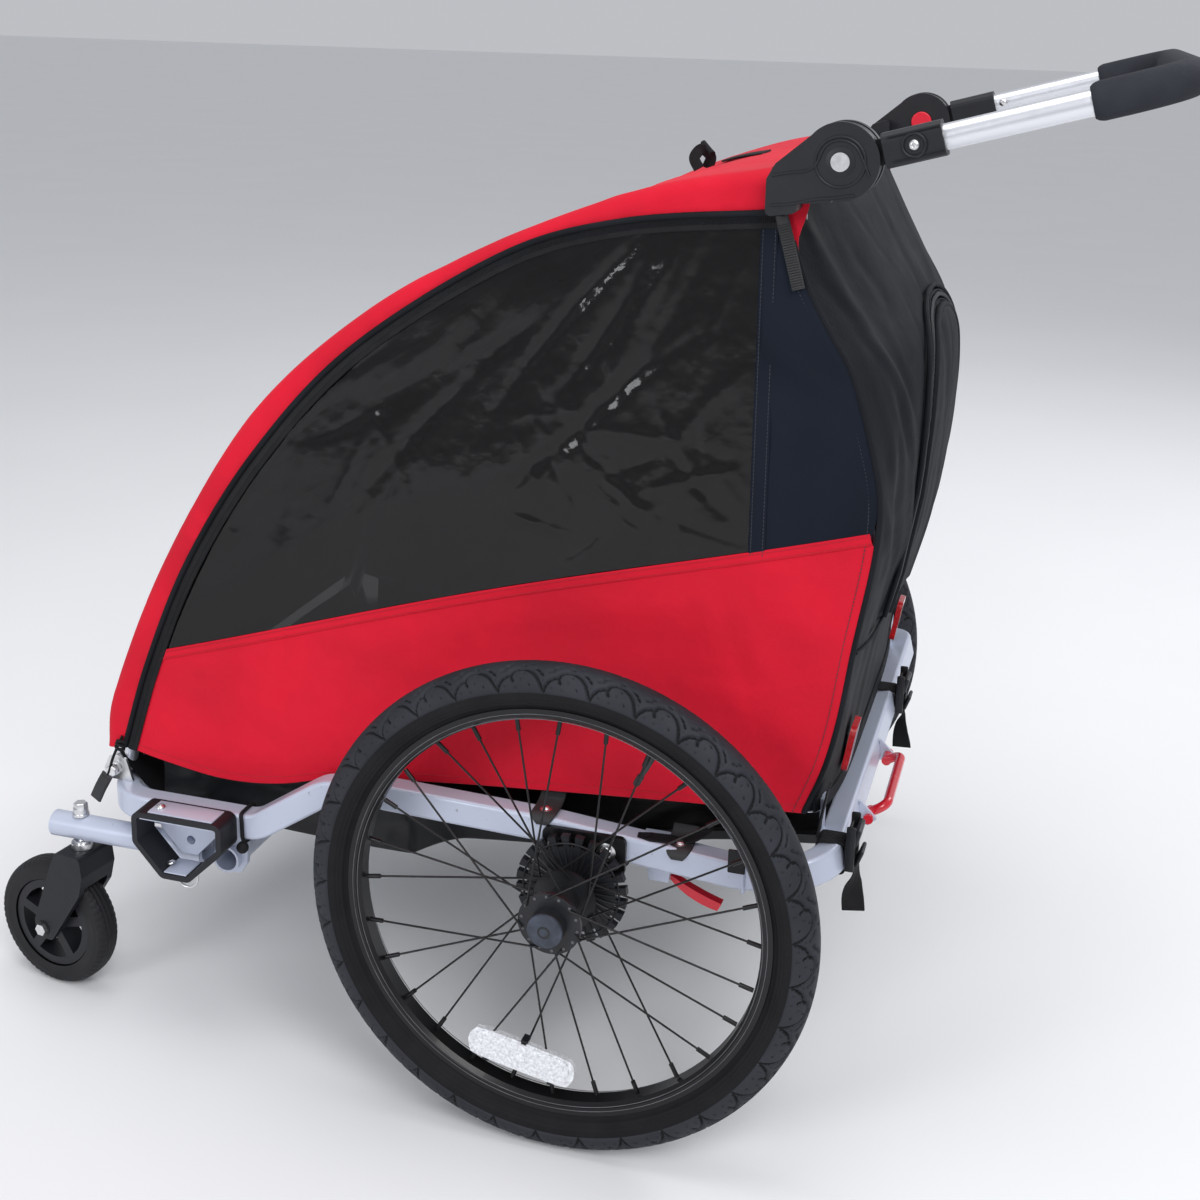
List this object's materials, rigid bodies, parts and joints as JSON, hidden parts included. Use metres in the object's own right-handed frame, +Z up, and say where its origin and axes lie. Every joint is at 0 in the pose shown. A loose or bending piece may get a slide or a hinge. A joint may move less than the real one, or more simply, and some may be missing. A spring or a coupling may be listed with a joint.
{
  "type": "child bicycle trailer",
  "caption": "Child bicycle trailer set up as a push-chair: tube frame, fabric cabin with tinted side windows, front casters and a tilting handlebar.",
  "frame": {"origin": "on the ground under the middle of the overall length, midway between the wheels", "axes": "+X forward, towards the casters; +Y to the rider's left; +Z up"},
  "size_m": [1.1912, 0.866, 1.0478],
  "materials": {
    "frame_paint": "satin silver-blue powder coat",
    "black_plastic": "moulded, fine texture",
    "dark_steel": "dark grey paint",
    "zinc_steel": "zinc plated",
    "black_cloth": "coated nylon",
    "seat_cloth": "padded polyester",
    "red_cloth": "coated polyester, plain weave",
    "navy_cloth": "coated polyester, plain weave",
    "clear_film": "tinted flexible film",
    "red_lens": "prismatic reflector",
    "tube_aluminium": "clear anodised",
    "foam_grip": "closed-cell foam",
    "red_paint": "gloss red coating",
    "red_plastic": "moulded",
    "tyre_rubber": "moulded tread",
    "black_rim": "black anodised",
    "black_steel": "black oxide",
    "hub_black": "satin black",
    "fork_black": "black paint",
    "caster_rubber": "ribbed tread"
  },
  "bodies": {
    "base_frame": {"rail_left": "frame_paint", "rail_right": "frame_paint", "front_tube": "frame_paint", "rear_tube": "frame_paint", "cross_tubes": "frame_paint", "boom_left": "frame_paint", "boom_right": "frame_paint", "receiver_left": "frame_paint", "receiver_right": "frame_paint", "receiver_guards": "black_plastic", "axle_brackets": "dark_steel", "wheel_axles": "zinc_steel", "hoop_ears": "zinc_steel", "front_pivot_bolts": "zinc_steel", "swivel_bolts": "zinc_steel", "lever_pivots": "frame_paint", "floor_pan": "black_cloth", "seat": "seat_cloth", "lower_side_panels": "red_cloth", "windows": "clear_film", "rear_cover": "navy_cloth", "backrest": "seat_cloth", "rear_reflectors": "red_lens"},
    "upper_frame": {"hoop_left": "tube_aluminium", "hoop_right": "tube_aluminium", "roof_tubes": "tube_aluminium", "hinge_base_left": "black_plastic", "hinge_base_right": "black_plastic", "frame_rivets": "zinc_steel", "roof_cover": "red_cloth"},
    "rear_upright": {"rear_upright": "tube_aluminium"},
    "handle": {"rotor_left": "black_plastic", "rotor_right": "black_plastic", "handle_tube": "tube_aluminium", "handle_grip": "foam_grip"},
    "brake_pedal": {"brake_pedal": "red_paint"},
    "wheel_left": {"tyre_left": "tyre_rubber", "rim_left": "black_rim", "spokes_left": "black_steel", "hub_left": "hub_black", "brake_disc_left": "black_plastic"},
    "caster_fork_left": {"caster_fork_left": "fork_black", "caster_axle_left": "zinc_steel"},
    "caster_wheel_left": {"caster_tyre_left": "caster_rubber", "caster_hub_left": "black_plastic"},
    "hinge_button_left": {"hinge_button_left": "red_plastic"},
    "lock_lever_left": {"lock_lever_left": "red_plastic"},
    "hitch_pin_left": {"hitch_pin_left": "zinc_steel"},
    "wheel_right": {"tyre_right": "tyre_rubber", "rim_right": "black_rim", "spokes_right": "black_steel", "hub_right": "hub_black", "brake_disc_right": "black_plastic"},
    "caster_fork_right": {"caster_fork_right": "fork_black", "caster_axle_right": "zinc_steel"},
    "caster_wheel_right": {"caster_tyre_right": "caster_rubber", "caster_hub_right": "black_plastic"},
    "hinge_button_right": {"hinge_button_right": "red_plastic"},
    "lock_lever_right": {"lock_lever_right": "red_plastic"},
    "hitch_pin_right": {"hitch_pin_right": "zinc_steel"}
  },
  "joints": [
    {"name": "wheel_left_spin", "type": "hinge", "parent": "base_frame", "child": "wheel_left", "pos_m": [-0.0912, 0.3925, 0.25], "axis": [0, 1, 0], "continuous": true},
    {"name": "wheel_right_spin", "type": "hinge", "parent": "base_frame", "child": "wheel_right", "pos_m": [-0.0912, -0.3925, 0.25], "axis": [0, 1, 0], "continuous": true},
    {"name": "caster_left_swivel", "type": "hinge", "parent": "base_frame", "child": "caster_fork_left", "pos_m": [0.4828, 0.306, 0.172], "axis": [0, 0, 1], "continuous": true},
    {"name": "caster_left_spin", "type": "hinge", "parent": "caster_fork_left", "child": "caster_wheel_left", "pos_m": [0.52231, 0.29974, 0.074], "axis": [0.1564, 0.9877, 0], "continuous": true},
    {"name": "caster_right_swivel", "type": "hinge", "parent": "base_frame", "child": "caster_fork_right", "pos_m": [0.4828, -0.306, 0.172], "axis": [0, 0, 1], "continuous": true},
    {"name": "caster_right_spin", "type": "hinge", "parent": "caster_fork_right", "child": "caster_wheel_right", "pos_m": [0.52231, -0.31226, 0.074], "axis": [0.1564, 0.9877, 0], "continuous": true},
    {"name": "body_fold", "type": "hinge", "parent": "base_frame", "child": "upper_frame", "pos_m": [0.4378, 0, 0.272], "axis": [0, -1, 0], "range_deg": [0, 32], "deforming": ["lower_side_panels", "windows", "rear_cover", "backrest"]},
    {"name": "upright_fold", "type": "hinge", "parent": "upper_frame", "child": "rear_upright", "pos_m": [-0.2592, 0, 0.85], "axis": [0, -1, 0], "range_deg": [0, 51.2]},
    {"name": "handle_tilt", "type": "hinge", "parent": "upper_frame", "child": "handle", "pos_m": [-0.3062, 0, 0.955], "axis": [0, 1, 0], "range_deg": [-60, 90]},
    {"name": "hinge_button_left_press", "type": "slide", "parent": "upper_frame", "child": "hinge_button_left", "axis": [0, 1, 0], "range_m": [0, 0.0035], "stiffness_N_per_m": 300, "springref_m": -0.002},
    {"name": "hinge_button_right_press", "type": "slide", "parent": "upper_frame", "child": "hinge_button_right", "axis": [0, -1, 0], "range_m": [0, 0.0035], "stiffness_N_per_m": 300, "springref_m": -0.002},
    {"name": "brake_pedal_push", "type": "hinge", "parent": "base_frame", "child": "brake_pedal", "pos_m": [-0.3532, 0.104, 0.29], "axis": [0, -1, 0], "range_deg": [0, 30]},
    {"name": "lock_lever_left_turn", "type": "hinge", "parent": "base_frame", "child": "lock_lever_left", "pos_m": [-0.1672, 0.292, 0.257], "axis": [0, -1, 0], "range_deg": [0, 40]},
    {"name": "lock_lever_right_turn", "type": "hinge", "parent": "base_frame", "child": "lock_lever_right", "pos_m": [-0.1672, -0.292, 0.257], "axis": [0, -1, 0], "range_deg": [0, 40]},
    {"name": "hitch_pin_left_pull", "type": "slide", "parent": "base_frame", "child": "hitch_pin_left", "axis": [0, 0, -1], "range_m": [0, 0.03]},
    {"name": "hitch_pin_right_pull", "type": "slide", "parent": "base_frame", "child": "hitch_pin_right", "axis": [0, 0, -1], "range_m": [0, 0.03]}
  ],
  "couplings": [
    {"joint": "upright_fold", "follows": "body_fold", "ratio": 1.6}
  ]
}
